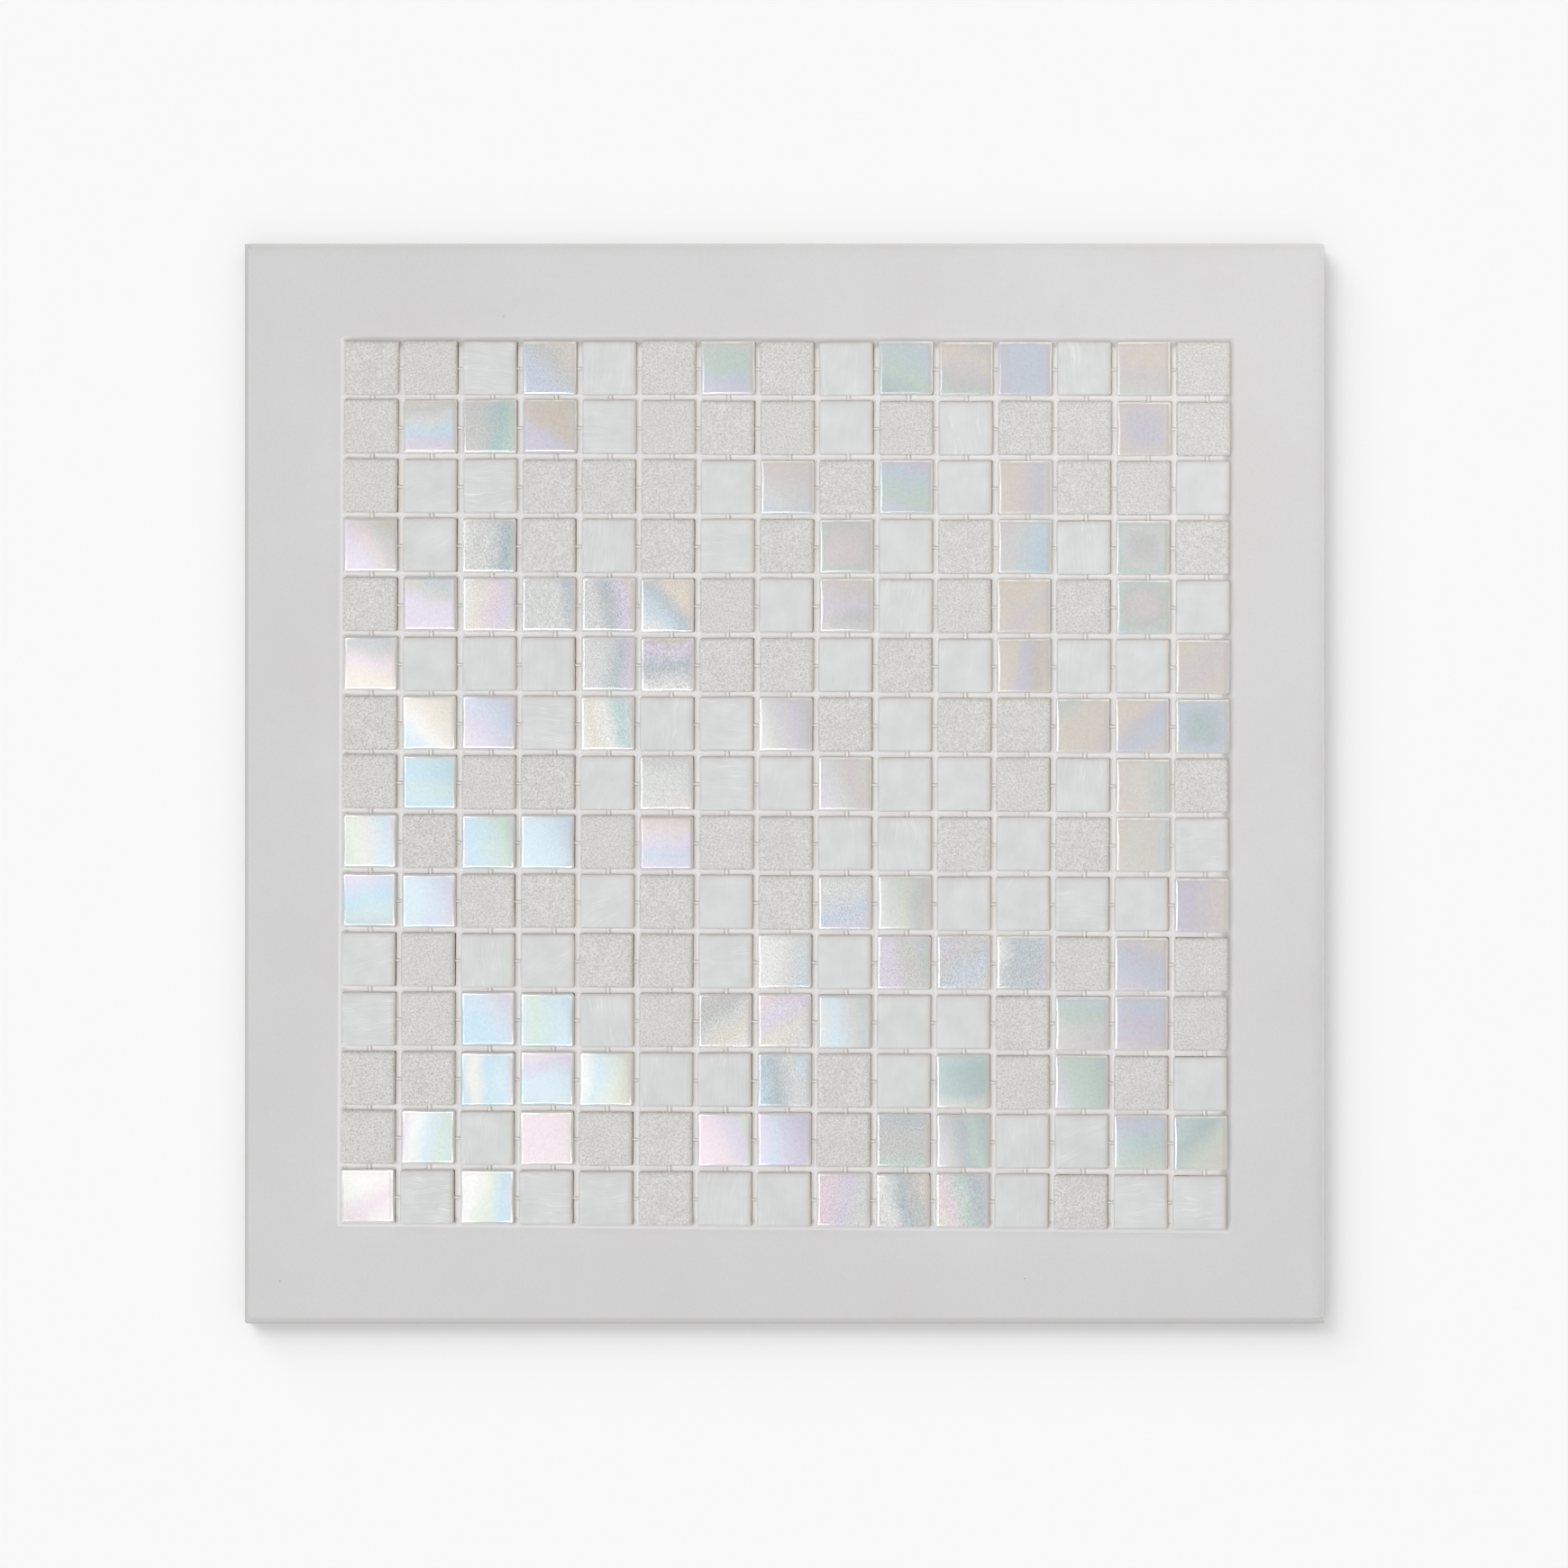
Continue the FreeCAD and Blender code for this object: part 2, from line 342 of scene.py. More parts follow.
def make_mottle():
    """Soft clouds with a fine grain over them, from 0 to 1, for paint and glue."""
    effect, given, out = new_effect(
        "mottle",
        [("Vector", "NodeSocketVector", (0, 0, 0)), ("Cloud Scale", "NodeSocketFloat", 20),
         ("Grain Scale", "NodeSocketFloat", 900), ("Grain Share", "NodeSocketFloat", 0.4)],
        [("Mottle", "NodeSocketFloat"), ("Grain", "NodeSocketFloat")])
    place = given.outputs["Vector"]
    clouds = soft_noise(effect, place, given.outputs["Cloud Scale"], 3.0, 0.6)["Fac"]
    grain = soft_noise(effect, place, given.outputs["Grain Scale"], 2.0, 0.6)["Fac"]
    both = step(effect, "ShaderNodeMix", {"Factor": given.outputs["Grain Share"], "A": clouds, "B": grain})
    effect.links.new(both.outputs["Result"], out.inputs["Mottle"])
    effect.links.new(grain, out.inputs["Grain"])
    return effect


def new_finish(name, **plain):
    """A finish with one Principled shader, and the plain numbers set on its own sockets."""
    finish = bpy.data.materials.new(name)
    finish.use_nodes = True
    recipe = finish.node_tree
    shader = recipe.nodes["Principled BSDF"]
    for label, value in plain.items():
        shader.inputs[label.replace("_", " ")].default_value = value
    return finish, recipe, shader


def read_stamp(recipe, label, kind="Fac"):
    """What the points of a piece carry to its finish under one label."""
    return step(recipe, "ShaderNodeAttribute", attribute_name=label).outputs[kind]


def laid_over(recipe, share, under, over, blend="MIX"):
    """One coat of colour laid over another, as far as the share goes. A coat is a colour or a link."""
    coats = {label: coat if isinstance(coat, bpy.types.NodeSocket) else (*coat, 1)
             for label, coat in (("A", under), ("B", over))}
    return step(recipe, "ShaderNodeMix", {"Factor": share, **coats},
                data_type="RGBA", blend_type=blend).outputs["Result"]


def two_tone(recipe, share, low, high, dark, light):
    """A colour between dark and light, as the share goes from low to high."""
    return laid_over(recipe, ramp(recipe, share, low, high), dark, light)


def make_painted_tone():
    """A tone painted over a body colour for shade or light: where it lies, from 0 to 1, and how much at the
    most.
    """
    effect, given, out = new_effect(
        "painted_tone",
        [("Body", "NodeSocketColor", (1, 1, 1, 1)), ("Shade Colour", "NodeSocketColor", (0, 0, 0, 1)),
         ("Where", "NodeSocketFloat", 0), ("Most", "NodeSocketFloat", 1)],
        [("Shaded", "NodeSocketColor")])
    share = combine(effect, "MULTIPLY", given.outputs["Where"], given.outputs["Most"])
    both = laid_over(effect, share, given.outputs["Body"], given.outputs["Shade Colour"])
    effect.links.new(both, out.inputs["Shaded"])
    return effect


def painted_over(recipe, body, shade, where, most=1.0):
    """A body colour with one painted shade or painted light over it."""
    return step(recipe, "ShaderNodeGroup", {"Body": body, "Shade Colour": (*shade, 1), "Where": where, "Most": most},
                node_tree=painted_tone).outputs["Shaded"]


def raise_surface(recipe, shader, height, depth, strength):
    """Fine relief under a finish, as deep as given in millimetres."""
    relief = step(recipe, "ShaderNodeBump", {"Height": height, "Distance": depth * MM, "Strength": strength})
    recipe.links.new(relief.outputs["Normal"], shader.inputs["Normal"])


mottle = make_mottle()
painted_tone = make_painted_tone()
board_finish, recipe, shader = new_finish("board paint", IOR=1.4)
place = step(recipe, "ShaderNodeTexCoord").outputs["Object"]
paint = step(recipe, "ShaderNodeGroup", {"Vector": place, "Cloud Scale": paint_cloud_scale,
                                         "Grain Scale": paint_grain_scale,
                                         "Grain Share": paint_grain_share}, node_tree=mottle)
coat = two_tone(recipe, paint.outputs["Mottle"], 0.35, 0.65, paint_dark, paint_light)
for x, y in pinholes:
    gap = step(recipe, "ShaderNodeVectorMath", {0: place, 1: (x * MM, y * MM, board_thickness * MM)},
               operation="DISTANCE")
    hole = ramp(recipe, gap.outputs["Value"], pinhole_size * MM, 0.5 * pinhole_size * MM)
    coat = laid_over(recipe, hole, coat, pinhole_shade)
# Painted shade on the bevels, then a darker painted shade line along the board's outermost edge.
for label, shade in (("painted bevel shade", bevel_painted_shade), ("edge_shade", edge_painted_shade)):
    coat = painted_over(recipe, coat, shade, read_stamp(recipe, label))
recipe.links.new(coat, shader.inputs["Base Color"])
rough = ramp(recipe, paint.outputs["Mottle"], 0.0, 1.0,
             paint_roughness - paint_gloss_play, paint_roughness + paint_gloss_play)
recipe.links.new(rough, shader.inputs["Roughness"])
raise_surface(recipe, shader, paint.outputs["Grain"], paint_relief, 0.5)
board_points, board_faces, board_stamps = board_mesh()
board = make_piece("board", board_points, board_faces, board_finish, board_stamps)
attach(board, "root")
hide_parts("backing_board")
leave_out(tiles_and_glue, board)
board_alone.objects.link(board)

# The tiles hang on a lattice of glue strands, and a thin skim of the same pale glue bonds the sheet down,
# laid by hand a millimetre or two askew. The seams beside each strand carry a painted shade, the glue beside
# each tile's right and top edge a tan painted shadow, and the bank round the field a tone painted to undo its
# shade.
pitch = 22.0
rows = 15
field_half = 164.0
joint_half = 1.0
tile_foot = 8.8
strand_widths = {"upright": 1.65, "across": 1.25}
strand_wander = 0.1
wander_length = 9
strand_plumpness = 0.2
plump_length = 5
strand_shoulder = 0.35
strand_half_length = 160.0
joint_steps = [-1.6, -1.2, -0.9, -0.4, 0.0, 0.4, 0.9, 1.2, 1.6]
swell_reach = 1.6
swell_slope = 0.4
strand_rise = 3.0
strand_ring = 9
strand_offsets = [0.4, 0.6, 0.9, 2.5, 0.5, 1.5, 0.3, 1.1, 0.7, 1.0, 0.4, 1.3, 0.8, 1.8, 1.6]
cross_strand_offset = -0.3
glue_light = (0.752, 0.745, 0.748)
glue_dark = (0.70, 0.693, 0.692)
strand_light = (0.78, 0.765, 0.74)
strand_dark = (0.71, 0.69, 0.66)
glue_cloud_scale = 180
strand_cloud_scale = 320
glue_grain_scale = 1400
glue_grain_share = 0.3
glue_relief = 0.08
# Painted shade in the seams beside each strand.
seam_painted_shade = (0.565, 0.525, 0.49)
# The tone painted on the glue bank round the field to undo the shade the tiles throw there.
bank_painted_light = (0.72, 0.712, 0.712)
joint_fill = [(0.0, 3.4), (0.6, 3.45), (1.15, 3.65), (1.5, 1.25), (1.7, 0.8), (2.1, 0.42)]
edge_fill = [(-3.0, 0.42), (-1.9, 0.42), (-1.1, 0.42), (-0.7, 0.8), (-0.5, 1.25), (-0.15, 2.6), (0.1, 2.3),
             (0.35, 1.5), (0.65, 0.85), (1.0, 0.4), (1.5, 0.14), (2.1, -0.05)]
end_fill = [(-3.0, 3.4), (-1.9, 2.9), (-1.1, 2.2), (-0.5, 1.55), (0.1, 1.0), (0.65, 0.6), (1.5, 0.14),
            (2.1, -0.05)]
bank_from = -0.15
joint_level = 3.0
wipe_shift = {"upright": 0.28, "across": 0.06}
skim_wave = 0.1
skim_wave_size = 1.6
seam_steps = [-1.4, -1.2, -1.0, 1.0, 1.2, 1.4]
seam_depth = 0.24
seam_half = 0.25
seam_past = 1.3
shaded_side_share = 0.5
# The tan painted shadow on the glue beside each tile's right and top edge, and how it fades across a joint.
joint_painted_shadow = (0.658, 0.614, 0.57)
joint_shadow_from = (-3.0, -2.6, -0.3, 0.3, 0.9)
joint_shadow_share = (0.0, 1.0, 0.8, 0.25, 0.0)
top_shade_share = 0.55
sheet_shift = {"top left": (2.0, -0.4), "top right": (0.7, -1.0),
               "bottom left": (0.6, 2.2), "bottom right": (-0.6, -0.3)}


def on_sheet(x, y):
    """Where a spot of the true sheet lies on the sheet as it was laid."""
    right = (x + field_half) / (2 * field_half)
    up = (y + field_half) / (2 * field_half)
    shift = [0.0, 0.0]
    for way in (0, 1):
        top = sheet_shift["top left"][way] * (1 - right) + sheet_shift["top right"][way] * right
        bottom = sheet_shift["bottom left"][way] * (1 - right) + sheet_shift["bottom right"][way] * right
        shift[way] = top * up + bottom * (1 - up)
    return x + shift[0], y + shift[1]


middles = [(line - (rows - 1) / 2) * pitch for line in range(rows)]
joints = [middle + pitch / 2 for middle in middles[:-1]]


def off_joint(x):
    """How far a line is from the nearest joint."""
    return min(abs(x - joint) for joint in joints)


strand_stops = ([-strand_half_length] + [joint + step_off for joint in joints for step_off in joint_steps]
                + [strand_half_length])


def strand_points(offset, way, seed):
    """The rings of one strand: a flat-bottomed bead that wanders a little and swells up in each joint."""
    points = []
    for along in strand_stops:
        drift = strand_wander * noise.noise((along / wander_length, seed, 0))
        fat = 1 + strand_plumpness * noise.noise((along / plump_length, seed, 7))
        swollen = strand_rise * min(1, max(0, (swell_reach - off_joint(along)) / swell_slope))
        for spot in range(strand_ring):
            bow = math.pi * spot / (strand_ring - 1)
            across = offset + drift + strand_widths[way] / 2 * fat * math.cos(bow)
            top = tile_foot - board_thickness + swollen
            height = board_thickness + top * math.sin(bow) ** strand_shoulder
            if spot in (0, strand_ring - 1):
                height = board_thickness
            x, y = (across, along) if way == "upright" else (along, across)
            x, y = on_sheet(x, y)
            points.append((x, y, height))
    return points


strand_middles = {"upright": [middle + offset for middle, offset in zip(middles, strand_offsets)],
                  "across": [middle + cross_strand_offset for middle in middles]}
strand_spots, strand_faces = [], []
for way, places in strand_middles.items():
    for line, middle in enumerate(places):
        start = len(strand_spots)
        strand_spots += strand_points(middle, way, line + (40 if way == "upright" else 0))
        for count in range(len(strand_stops) - 1):
            for spot in range(strand_ring):
                after = (spot + 1) % strand_ring
                near, far = start + count * strand_ring, start + (count + 1) * strand_ring
                quad = (near + spot, near + after, far + after, far + spot)
                strand_faces.append(quad if way == "across" else quad[::-1])
        last = start + (len(strand_stops) - 1) * strand_ring
        for end, tip in ((start, way == "upright"), (last, way == "across")):
            cap = tuple(range(end, end + strand_ring))
            strand_faces.append(cap if tip else cap[::-1])


def glue_coat(name, dark, light, cloud_scale, marks, **plain):
    """A cloudy coat of glue, with the marks that its points carry."""
    finish, recipe, shader = new_finish(name, **plain)
    place = step(recipe, "ShaderNodeTexCoord").outputs["Object"]
    clouding = step(recipe, "ShaderNodeGroup", {"Vector": place, "Cloud Scale": cloud_scale,
                                                "Grain Scale": glue_grain_scale,
                                                "Grain Share": glue_grain_share}, node_tree=mottle)
    body = two_tone(recipe, clouding.outputs["Mottle"], 0.3, 0.7, dark, light)
    for label, shade in marks.items():
        body = painted_over(recipe, body, shade, read_stamp(recipe, label))
    recipe.links.new(body, shader.inputs["Base Color"])
    raise_surface(recipe, shader, clouding.outputs["Mottle"], glue_relief, 0.5)
    return finish


glue_finish = glue_coat("pale glue", glue_dark, glue_light, glue_cloud_scale,
                        {"bank_light": bank_painted_light, "joint_shadow": joint_painted_shadow, "seam": seam_painted_shade},
                        Roughness=0.55, IOR=1.45)
strand_finish = glue_coat("glue strand", strand_dark, strand_light, strand_cloud_scale, {},
                          Roughness=0.35, IOR=1.48)
strands = make_piece("strands", strand_spots, strand_faces, strand_finish)
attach(strands, "root")
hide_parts("strand_lattice")

fill_from, fill_height = zip(*joint_fill)
edge_from, edge_height = zip(*edge_fill)
end_from, end_height = zip(*end_fill)


def skim_profile(x, way):
    """How high the glue stands along one way, and the most it may there and where a joint runs out."""
    past = abs(x) - field_half
    if past < edge_from[0]:
        return np.interp(off_joint(x - wipe_shift[way]), fill_from, fill_height), math.inf, math.inf
    height = np.interp(past, edge_from, edge_height) * (shaded_side_share if x > 0 else 1)
    return height, height if past > bank_from else math.inf, np.interp(past, end_from, end_height)


def skim_lines(way):
    """Lines across the skim, close together at the joints, the field's edges and the strands' seams."""
    lines = [joint + wipe_shift[way] + side * step_off
             for joint in joints for step_off in fill_from for side in (-1, 1)]
    lines += [side * (field_half + step_off) for step_off in edge_from for side in (-1, 1)]
    scale = strand_widths[way] / 2
    lines += [middle + step_off * scale for middle in strand_middles[way] for step_off in seam_steps]
    return sorted(set(lines))


def beside_strand(x, way):
    """How deep in the seam beside a strand a line lies, from 0 to 1."""
    off = min(abs(x - middle) for middle in strand_middles[way]) / (strand_widths[way] / 2)
    return max(0.0, 1 - abs(off - 1.0) / seam_half)


def joint_shadowed(x):
    """How much tan painted shadow lies at a line: most beside a tile's right or top edge, none beside the
    next.
    """
    gap = min((x - joint for joint in joints + [field_half + joint_half]), key=abs)
    return np.interp(gap, joint_shadow_from, joint_shadow_share)


def along_line(x, way):
    """All that the skim's points on one line share."""
    return (*skim_profile(x, way), off_joint(x), beside_strand(x, way), joint_shadowed(x))


def grid_faces(across, up):
    """The faces of a grid of points that are laid row by row."""
    return [tuple(row * across + spot + corner for corner in (0, 1, across + 1, across))
            for row in range(up - 1) for spot in range(across - 1)]


skim_x, skim_y = skim_lines("upright"), skim_lines("across")
x_profile = [along_line(x, "upright") for x in skim_x]
y_profile = [along_line(y, "across") for y in skim_y]
skim_points, seams, bank_light, joint_shadows = [], [], [], []
for y, (rise_y, cap_y, end_y, off_y, seam_y, shadow_y) in zip(skim_y, y_profile):
    for x, (rise_x, cap_x, end_x, off_x, seam_x, shadow_x) in zip(skim_x, x_profile):
        run_out = min(end_x if off_y < joint_half else math.inf, end_y if off_x < joint_half else math.inf)
        height = min(max(rise_x, rise_y), cap_x, cap_y, run_out)
        seam = max(seam_x if off_y < seam_past else 0.0, seam_y if off_x < seam_past else 0.0)
        if height > joint_level:
            height += skim_wave * noise.noise((x / skim_wave_size, y / skim_wave_size, 3)) - seam_depth * seam
        skim_points.append((*on_sheet(x, y), board_thickness + height))
        seams.append(seam)
        # Painted shadow beside each tile's right edge, weaker beside its top edge.
        joint_shadows.append(max(shadow_x if off_y > joint_half and abs(y) < field_half else 0.0,
                          top_shade_share * shadow_y if off_x > joint_half and abs(x) < field_half else 0.0))
        # Where the bank's painted light lies: on the glue bank outside the field.
        bank_light.append(float(min(cap_x, cap_y) < math.inf))
skim = make_piece("glue_skim", skim_points, grid_faces(len(skim_x), len(skim_y)), glue_finish,
                  {"seam": seams, "bank_light": bank_light, "joint_shadow": joint_shadows})
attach(skim, "root")

# Sand tiles are pressed glass with a coarse matt face, like wet sand, in a warm pale grey. All tiles are
# hand-sorted squares with uneven edges, set a little off true, with a tan painted shade along their right
# and top edges. The laying plan gives the first letter of each tile's glass, from the top row down.
laying_plan = ["SSMPMSPSMPPPMPS", "SPPPMSSSMSMSSPS", "SMMSSSMPSPMPSSM", "PMPSMSMSPMSPMPS", "SPPPPPSMPMSPSPM",
               "PMMMPPSSMSMPMMP", "SPPMPMMPSMSSPPP", "SPSSMPMMPMMSMPS", "PSPPSPSSMMSMSPM", "PPSSMSMSPPMMMMP",
               "MSMMSSMPMPPPSPS", "MSPPMSPPPMMSPPS", "SSPPPMMPSMPSPSM", "SPMPSSPPSPPMMPP", "PMPMMSMMPPPMSMM"]
tile_half = 10.0
tile_depth = 4.0
tile_corner = 1.1
face_reach = 2.0
rim_steps = [0.0, 0.05, 0.16, 0.34, 0.58, 0.88, 1.22, 1.6]
flank_lean = 0.04
flank_drop = 0.5
flank_foot = [(0.42, 0.45), (0.62, 0.0)]
edge_wander = 0.11
edge_wave = 4.5
edge_reach = 1.5
place_slack = 0.22
turn_slack = math.radians(0.45)
lean_slack = 0.006
sand_crown = (1.35, 1.15)
sand_cell = 0.75
sand_relief = 0.035
sand_grit = 0.8
sand_lumps = 1.7
sand_luck = (0.25, 0.7)
sand_calm_rim = 1.0
coarse_sand = {(7, 1), (8, 4), (13, 1), (13, 2), (14, 1), (8, 1), (9, 2)}
# The tan painted shade along each tile's right and top edges, and how it fades inward.
tile_painted_edge_shade = (0.60, 0.52, 0.43)
tile_shade_from = (0.0, 0.6, 1.6, 2.4)
tile_shade_share = (1.0, 1.0, 0.75, 0.0)
sand_pit = (0.36, 0.34, 0.31)
sand_body = (0.516, 0.507, 0.489)
sand_grain = (0.797, 0.789, 0.775)
sand_edge_shade = 0.25
sand_grain_scale = 1.6
sand_pit_scale = 1.1
sand_cloud_scale = 0.16
sand_drift = 0.25
sand_rough = 0.62
sand_smooth = 0.34
sand_bump = 0.2


def face_lines(cell):
    """Lines across a tile's face: close together over the rounded rim, and a cell apart inside it."""
    inner = tile_half - rim_steps[-1]
    cells = round(inner / cell)
    from_edge = rim_steps + [rim_steps[-1] + inner * count / cells for count in range(1, cells + 1)]
    left = [-tile_half + gap for gap in from_edge]
    return np.array(left + [-spot for spot in left[-2::-1]])


def press_blank(cell, crown):
    """Points and faces of one true tile, whose rim has a given width and depth, and each point's inset."""
    crown_width, crown_depth = crown
    lines = face_lines(cell)
    count = len(lines)
    x, y = np.meshgrid(lines, lines)
    x, y = x.ravel(), y.ravel()
    straight = tile_half - tile_corner
    over_x = np.clip(np.abs(x) - straight, 0, None) / tile_corner
    over_y = np.clip(np.abs(y) - straight, 0, None) / tile_corner
    x = np.sign(x) * (np.minimum(np.abs(x), straight) + tile_corner * over_x * np.sqrt(1 - over_y ** 2 / 2))
    y = np.sign(y) * (np.minimum(np.abs(y), straight) + tile_corner * over_y * np.sqrt(1 - over_x ** 2 / 2))
    past_x = np.clip(np.abs(x) - straight, 0, None)
    past_y = np.clip(np.abs(y) - straight, 0, None)
    inset = np.where((past_x > 0) & (past_y > 0), tile_corner - np.hypot(past_x, past_y),
                     tile_half - np.maximum(np.abs(x), np.abs(y)))
    inset = np.clip(inset, 0, None)
    share = np.clip(1 - inset / crown_width, 0, 1)
    z = tile_depth - crown_depth * (1 - np.sqrt(1 - share ** 2))
    faces = grid_faces(count, count)
    rim = ([spot for spot in range(count - 1)] + [row * count + count - 1 for row in range(count - 1)]
           + [count * count - 1 - spot for spot in range(count - 1)]
           + [(count - 1 - row) * count for row in range(count - 1)])
    around = len(rim)
    points = [np.column_stack([x, y, z])]
    insets = [inset]
    above = np.array(rim)
    total = count * count
    for narrower, height in [(flank_lean, tile_depth - crown_depth - flank_drop)] + flank_foot:
        ring = np.column_stack([x[rim] * (1 - narrower / tile_half), y[rim] * (1 - narrower / tile_half),
                                np.full(around, height)])
        points.append(ring)
        insets.append(np.full(around, -1.0))
        below = np.arange(total, total + around)
        for spot in range(around):
            after = (spot + 1) % around
            faces.append((int(above[spot]), int(below[spot]), int(below[after]), int(above[after])))
        above = below
        total += around
    points.append(np.zeros((1, 3)))
    insets.append(np.array([-1.0]))
    faces += [(int(above[spot]), total, int(above[(spot + 1) % around])) for spot in range(around)]
    return {"points": np.vstack(points), "insets": np.concatenate(insets), "faces": faces}


def waves(points, size, seed):
    """Smooth random heights from -1 to 1 over a tile, with waves of the given size."""
    return np.array([noise.noise((x / size, y / size, seed)) for x, y in points[:, :2]])


def lay_tiles(name, row, kind, blank, finish, shape, luck):
    """One row's tiles of one kind as a single piece, each shaped, then laid where the plan says."""
    points, faces, stamps = [], [], {}
    start = 0
    for column in range(1, rows + 1):
        if laying_plan[row - 1][column - 1] != kind:
            continue
        seed = row * 16.37 + column * 5.91
        solid = blank["points"].copy()
        near_edge = np.exp(-np.clip(blank["insets"], 0, None) / edge_reach)
        solid[:, 0] += edge_wander * near_edge * waves(solid, edge_wave, seed + 50)
        solid[:, 1] += edge_wander * near_edge * waves(solid, edge_wave, seed + 90)
        height, marks = shape(row, column, solid, blank["insets"], seed, luck)
        marks["face"] = np.clip(blank["insets"] / face_reach, 0, 1)
        # Where the tan painted shade lies: along the right edge, and more weakly along the top.
        marks["far_edge_shade"] = np.maximum(np.interp(tile_half - solid[:, 0], tile_shade_from, tile_shade_share),
                                   top_shade_share * np.interp(tile_half - solid[:, 1], tile_shade_from, tile_shade_share))
        solid[:, 2] += height
        lean = [luck.uniform(-lean_slack, lean_slack) for way in (0, 1)]
        solid[:, 2] += lean[0] * solid[:, 0] + lean[1] * solid[:, 1] + tile_half * max(map(abs, lean))
        turn = luck.uniform(-turn_slack, turn_slack)
        x, y = on_sheet(middles[column - 1], middles[rows - row])
        x += luck.uniform(-place_slack, place_slack)
        y += luck.uniform(-place_slack, place_slack)
        points.append(np.column_stack([x + solid[:, 0] * math.cos(turn) - solid[:, 1] * math.sin(turn),
                                       y + solid[:, 0] * math.sin(turn) + solid[:, 1] * math.cos(turn),
                                       tile_foot + solid[:, 2]]))
        faces += [tuple(corner + start for corner in face) for face in blank["faces"]]
        for label, values in marks.items():
            stamps.setdefault(label, []).append(values)
        start += len(solid)
    return make_piece(name, np.vstack(points), faces, finish,
                      {label: np.concatenate(parts) for label, parts in stamps.items()})


def shape_sand(row, column, solid, insets, seed, luck):
    """The gritty face of a sand tile, and how coarse its glass is."""
    inside = np.clip(insets / sand_calm_rim, 0, 1)
    coarse = 1.0 if (row, column) in coarse_sand else luck.uniform(*sand_luck)
    grit = waves(solid, sand_grit, seed) + 0.6 * waves(solid, sand_lumps, seed + 9)
    height = sand_relief * (0.6 + coarse) * inside * grit
    spot = np.column_stack([solid[:, 0], solid[:, 1], solid[:, 2] * 0.3 + seed])
    return height, {"spot": spot, "coarse": np.full(len(solid), coarse)}


sand_finish, recipe, shader = new_finish("sand glass", IOR=1.4)
spot, coarse = read_stamp(recipe, "spot", "Vector"), read_stamp(recipe, "coarse")
grains = soft_noise(recipe, spot, sand_grain_scale, 2.0, 0.6)["Fac"]
specks = step(recipe, "ShaderNodeTexVoronoi", {"Vector": spot, "Scale": sand_pit_scale, "Randomness": 1.0})
clouds = soft_noise(recipe, spot, sand_cloud_scale, 2.0)["Fac"]
body = two_tone(recipe, grains, 0.31, 0.72, sand_body, sand_grain)
pits = ramp(recipe, specks.outputs["Distance"], 0.34, 0.1)
body = laid_over(recipe, combine(recipe, "MULTIPLY", pits, coarse), body, sand_pit)
drift = ramp(recipe, clouds, 0.3, 0.7, 0.0, sand_drift)
body = laid_over(recipe, drift, body, sand_body)
body = painted_over(recipe, body, tile_painted_edge_shade, read_stamp(recipe, "far_edge_shade"), sand_edge_shade)
recipe.links.new(body, shader.inputs["Base Color"])
rough = ramp(recipe, grains, 0.35, 0.7, sand_rough, sand_smooth)
recipe.links.new(rough, shader.inputs["Roughness"])
raise_surface(recipe, shader, grains, sand_bump, 0.5)
sand_blank = press_blank(sand_cell, sand_crown)
luck = random.Random(15)
for row in range(1, rows + 1):
    piece = lay_tiles("sand_tiles_%02d" % row, row, "S", sand_blank, sand_finish, shape_sand, luck)
    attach(piece, "root")
    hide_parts("row_%02d_sand_tiles" % row)

# Milk tiles are smooth satin glass, white with a cool cast, drawn out in faint streaks.
# The streaks run across, upright or aslant, as each strip of glass was pulled before it was cut.
# A brown painted shade lines the outermost edge of each, under the tan painted shade on its right and top
# edges.
streak_plan = ["HvvV", "h.V", "xH...", "DVh.V", ".V.", ".vv..v.", "HVh.", "dh...V", "VV.h", "D..dh.",
               "xVDh.", "HV..", "VV..", "vvx", "HHhVvvhh"]
streak_turns = {"H": 0, "h": 0, "V": 90, "v": 90, "D": 32, "d": 58, ".": 80, "x": 20}
streak_shows = {"H": 1.1, "h": 0.6, "V": 0.7, "v": 0.45, "D": 0.5, "d": 0.4, ".": 0.2, "x": 0.6}
milk_crown = (1.35, 1.15)
milk_cell = 1.1
milk_wave = 0.014
milk_wave_size = 6
milk_crest = 0.0016
milk_calm_rim = 1.5
streak_slack = 6
streak_width = 1.6
streak_stretch = 4
# The brown painted shade along each tile's outermost edge, and how far in it reaches.
rim_painted_shade = (0.33, 0.29, 0.245)
rim_shade_edge = (0.18, 0.04)
rim_shade_share = 0.12
milk_edge_shade = 0.36
milk_body = (0.611, 0.619, 0.619)
milk_streak = (0.87, 0.88, 0.885)
sway_scale = 0.12
sway_reach = 4.5
drawn_out = 0.035
thread_scale = 1.3
thread_share = 0.45
hair_scale = 2.0
streak_level = 0.27
milk_cloud_scale = 0.11
milk_cloud_dark = -0.12
milk_cloud_light = 0.38
milk_smooth = 0.44
milk_rough = 0.6
milk_bump = 0.02


